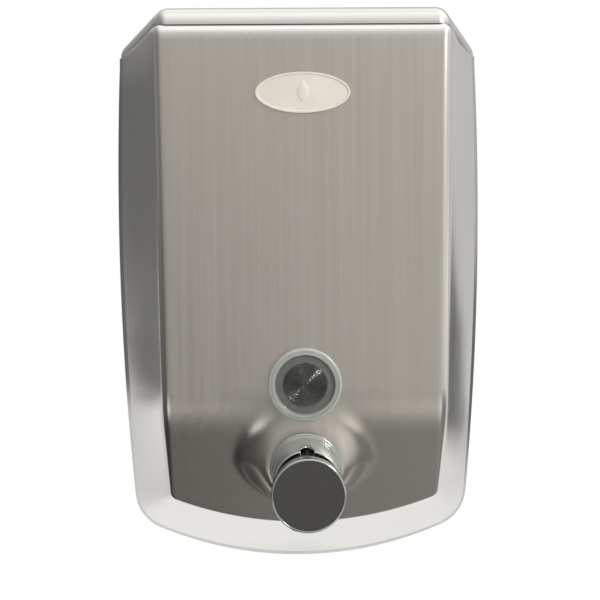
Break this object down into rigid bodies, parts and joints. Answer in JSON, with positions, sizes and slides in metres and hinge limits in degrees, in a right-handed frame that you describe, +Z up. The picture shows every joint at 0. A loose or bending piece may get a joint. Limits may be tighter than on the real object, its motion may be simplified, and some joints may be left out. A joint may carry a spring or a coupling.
{
  "type": "wall mounted soap dispenser",
  "caption": "Pressed steel wall tank with a hinged locking lid, round sight glass and a horizontal push-button pump that dispenses liquid soap.",
  "frame": {"origin": "centre of the wall bracket's four screw holes, on the wall plane", "axes": "+X to the viewer's right, +Y into the wall, +Z up; the front panel and pump face -Y"},
  "size_m": [0.125, 0.117, 0.18],
  "materials": {
    "brushed_skin": "vertically brushed stainless front, polished side and bottom bands",
    "lid_skin": "polished stainless",
    "plain_sheet": "mill finish stainless sheet",
    "hinge_steel": "plain bright steel",
    "badge_enamel": "off-white enamel on an oval plate",
    "clear_acrylic": "clear moulded acrylic",
    "seal_rubber": "matt black rubber",
    "black_plastic": "moulded black plastic",
    "white_plastic": "moulded natural white plastic",
    "collar_chrome": "bright chrome",
    "lock_chrome": "bright chrome",
    "button_chrome": "bright chrome",
    "button_dark": "dark grey satin face",
    "rod_steel": "ground stainless rod",
    "spring_steel": "drawn spring wire",
    "ball_steel": "polished bearing steel"
  },
  "bodies": {
    "tank": {"back_plate": "plain_sheet", "badge": "badge_enamel", "body_hinge_leaf": "hinge_steel", "front_bush": "black_plastic", "front_shell": "brushed_skin", "hanger_rail": "plain_sheet", "hinge_pin": "hinge_steel", "inlet_elbow": "white_plastic", "inlet_seat": "white_plastic", "intake_strainer": "white_plastic", "intake_tube": "white_plastic", "pump_barrel": "white_plastic", "pump_collar": "collar_chrome", "pump_inner_gasket": "seal_rubber", "pump_lock_nut": "black_plastic", "pump_outer_gasket": "seal_rubber", "return_spring": "spring_steel", "rod_seal": "seal_rubber", "sight_gasket": "seal_rubber", "sight_glass": "clear_acrylic", "sight_nut": "black_plastic", "spout_tip": "seal_rubber", "wall_bracket": "plain_sheet"},
    "button": {"push_button": "button_chrome", "button_face": "button_dark", "plunger": "rod_steel", "piston": "white_plastic", "piston_seal": "seal_rubber", "outlet_spring": "spring_steel"},
    "outlet_valve": {"outlet_ball": "ball_steel"},
    "inlet_valve": {"inlet_ball": "ball_steel"},
    "lid": {"lid": "lid_skin", "lid_hinge_leaf": "hinge_steel", "lock_housing": "lock_chrome", "lock_nut": "hinge_steel"},
    "lock": {"lock_plug": "lock_chrome", "lock_cam": "hinge_steel", "cam_screw": "hinge_steel"}
  },
  "joints": [
    {"name": "lid_hinge", "type": "hinge", "parent": "tank", "child": "lid", "pos_m": [0, -0.0032, 0.0692], "axis": [-1, 0, 0], "range_deg": [0, 90]},
    {"name": "lock_turn", "type": "hinge", "parent": "lid", "child": "lock", "pos_m": [0, -0.057, 0.071], "axis": [0, 0, -1], "range_deg": [0, 90]},
    {"name": "button_push", "type": "slide", "parent": "tank", "child": "button", "axis": [0, 1, 0], "range_m": [0, 0.008], "stiffness_N_per_m": 400, "springref_m": -0.01, "deforming": ["return_spring"]},
    {"name": "outlet_lift", "type": "slide", "parent": "button", "child": "outlet_valve", "axis": [0, -1, 0], "range_m": [0, 0.001], "stiffness_N_per_m": 20, "springref_m": -0.001, "deforming": ["outlet_spring"]},
    {"name": "inlet_lift", "type": "slide", "parent": "tank", "child": "inlet_valve", "axis": [0, 0, 1], "range_m": [0, 0.0013]}
  ]
}
